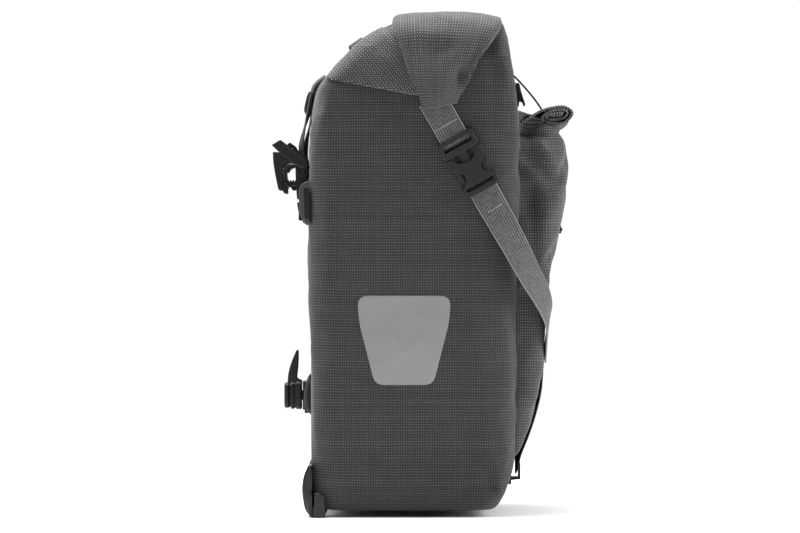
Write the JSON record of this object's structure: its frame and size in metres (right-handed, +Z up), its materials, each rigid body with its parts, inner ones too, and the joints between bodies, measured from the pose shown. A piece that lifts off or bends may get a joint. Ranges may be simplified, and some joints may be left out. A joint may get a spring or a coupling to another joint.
{
  "type": "pannier bag",
  "caption": "Roll-top bicycle pannier with an outer pocket, closure straps with side-release buckles, latching rack hooks and a swivelling lower anchor.",
  "frame": {"origin": "centre of the bounding box's underside, under the bag's mid-width plane", "axes": "+Z up, -X towards the rack, +X towards the outer pocket, Y along the bicycle; mirrored about Y = 0"},
  "size_m": [0.2568, 0.3544, 0.435],
  "materials": {
    "coated_fabric": "matt heather-grey woven fabric, coated inside",
    "grey_webbing": "ribbed mid-grey webbing",
    "black_webbing": "ribbed black webbing",
    "reflective_patch": "light grey reflective film, slightly pebbled",
    "black_plastic": "fine-grained moulded plastic",
    "gloss_plastic": "satin to glossy moulded plastic",
    "buckle_plastic": "dark grey satin acetal",
    "steel": "zinc-plated steel"
  },
  "bodies": {
    "bag": {"main_shell": "coated_fabric", "back_board": "black_plastic", "inner_pocket": "coated_fabric", "reflector_left": "reflective_patch", "reflector_right": "reflective_patch", "roll_closure": "coated_fabric", "roll_strip": "black_plastic", "roll_end_left": "coated_fabric", "roll_end_right": "coated_fabric", "upper_strap_left": "grey_webbing", "upper_strap_right": "grey_webbing", "buckle_plug_left": "black_plastic", "buckle_plug_right": "black_plastic", "lower_strap_left": "grey_webbing", "lower_strap_right": "grey_webbing", "shoulder_strap": "black_webbing", "strap_anchor": "black_plastic", "strap_anchor_rivets": "steel", "outer_pocket": "coated_fabric", "pocket_roll": "coated_fabric", "pocket_hook": "black_plastic", "pocket_strap": "black_webbing", "pocket_clip": "black_plastic", "carry_loop": "black_webbing", "back_tab": "grey_webbing", "top_rail": "black_plastic", "top_rail_screws": "steel", "top_rail_nuts": "steel", "lower_rail": "black_plastic", "lower_rail_screws": "steel", "lower_rail_nuts": "steel", "corner_guard_left": "gloss_plastic", "corner_guard_right": "gloss_plastic", "corner_guard_rivets": "steel"},
    "hook_left": {"hook_left": "black_plastic", "tube_insert_left": "buckle_plastic", "latch_pin_left": "steel", "latch_spring_left": "steel"},
    "latch_left": {"latch_left": "buckle_plastic"},
    "handle_strap_left": {"handle_strap_left": "black_webbing"},
    "socket_left": {"buckle_socket_left": "buckle_plastic"},
    "prong_left_rear": {"prong_left_rear": "black_plastic"},
    "prong_left_front": {"prong_left_front": "black_plastic"},
    "hook_right": {"hook_right": "black_plastic", "tube_insert_right": "buckle_plastic", "latch_pin_right": "steel", "latch_spring_right": "steel"},
    "latch_right": {"latch_right": "buckle_plastic"},
    "handle_strap_right": {"handle_strap_right": "black_webbing"},
    "socket_right": {"buckle_socket_right": "buckle_plastic"},
    "prong_right_rear": {"prong_right_rear": "black_plastic"},
    "prong_right_front": {"prong_right_front": "black_plastic"},
    "handle": {"handle_grip": "black_plastic"},
    "slider": {"lower_slider": "black_plastic", "anchor_screw": "steel"},
    "anchor": {"lower_anchor": "black_plastic"}
  },
  "joints": [
    {"name": "hook_left_slide", "type": "slide", "parent": "bag", "child": "hook_left", "axis": [0, 1, 0], "range_m": [-0.01, 0.01]},
    {"name": "latch_left_turn", "type": "hinge", "parent": "hook_left", "child": "latch_left", "pos_m": [-0.1016, -0.085, 0.2986], "axis": [0, -1, 0], "range_deg": [0, 45], "stiffness_Nm_per_rad": 0.003, "springref_deg": -11.46},
    {"name": "handle_strap_left_lift", "type": "slide", "parent": "hook_left", "child": "handle_strap_left", "axis": [0, 0, 1], "range_m": [0, 0.0045]},
    {"name": "hook_right_slide", "type": "slide", "parent": "bag", "child": "hook_right", "axis": [0, 1, 0], "range_m": [-0.01, 0.01]},
    {"name": "latch_right_turn", "type": "hinge", "parent": "hook_right", "child": "latch_right", "pos_m": [-0.1016, 0.085, 0.2986], "axis": [0, -1, 0], "range_deg": [0, 45], "stiffness_Nm_per_rad": 0.003, "springref_deg": -11.46},
    {"name": "handle_strap_right_lift", "type": "slide", "parent": "hook_right", "child": "handle_strap_right", "axis": [0, 0, 1], "range_m": [0, 0.0045]},
    {"name": "handle_lift", "type": "slide", "parent": "bag", "child": "handle", "axis": [0, 0, 1], "range_m": [0, 0.0045]},
    {"name": "socket_left_slide", "type": "slide", "parent": "bag", "child": "socket_left", "axis": [0.4939, 0.0875, -0.8651], "range_m": [0, 0.032], "stiffness_N_per_m": 60, "deforming": ["lower_strap_left"]},
    {"name": "prong_left_rear_press", "type": "hinge", "parent": "bag", "child": "prong_left_rear", "pos_m": [0.02662, -0.15392, 0.30906], "axis": [0, -0.9949, -0.1006], "range_deg": [0, 8], "stiffness_Nm_per_rad": 0.002},
    {"name": "prong_left_front_press", "type": "hinge", "parent": "bag", "child": "prong_left_front", "pos_m": [0.04471, -0.15495, 0.31928], "axis": [0, -0.9949, -0.1006], "range_deg": [-8, 0], "stiffness_Nm_per_rad": 0.002},
    {"name": "socket_right_slide", "type": "slide", "parent": "bag", "child": "socket_right", "axis": [0.4939, -0.0875, -0.8651], "range_m": [0, 0.032], "stiffness_N_per_m": 60, "deforming": ["lower_strap_right"]},
    {"name": "prong_right_rear_press", "type": "hinge", "parent": "bag", "child": "prong_right_rear", "pos_m": [0.02662, 0.15392, 0.30906], "axis": [0, -0.9949, 0.1006], "range_deg": [0, 8], "stiffness_Nm_per_rad": 0.002},
    {"name": "prong_right_front_press", "type": "hinge", "parent": "bag", "child": "prong_right_front", "pos_m": [0.04471, 0.15495, 0.31928], "axis": [0, -0.9949, 0.1006], "range_deg": [-8, 0], "stiffness_Nm_per_rad": 0.002},
    {"name": "anchor_slide", "type": "slide", "parent": "bag", "child": "slider", "axis": [0, 1, 0], "range_m": [-0.045, 0.045]},
    {"name": "anchor_turn", "type": "hinge", "parent": "slider", "child": "anchor", "pos_m": [-0.108, 0, 0.1025], "axis": [1, 0, 0], "range_deg": [-90, 90]}
  ],
  "couplings": [
    {"joint": "latch_right_turn", "follows": "latch_left_turn", "ratio": 1},
    {"joint": "handle_strap_left_lift", "follows": "latch_left_turn", "m_per_rad": 0.0055},
    {"joint": "handle_strap_right_lift", "follows": "latch_left_turn", "m_per_rad": 0.0055},
    {"joint": "handle_lift", "follows": "latch_left_turn", "m_per_rad": 0.0055},
    {"joint": "prong_left_front_press", "follows": "prong_left_rear_press", "ratio": -1},
    {"joint": "prong_right_front_press", "follows": "prong_right_rear_press", "ratio": -1}
  ]
}
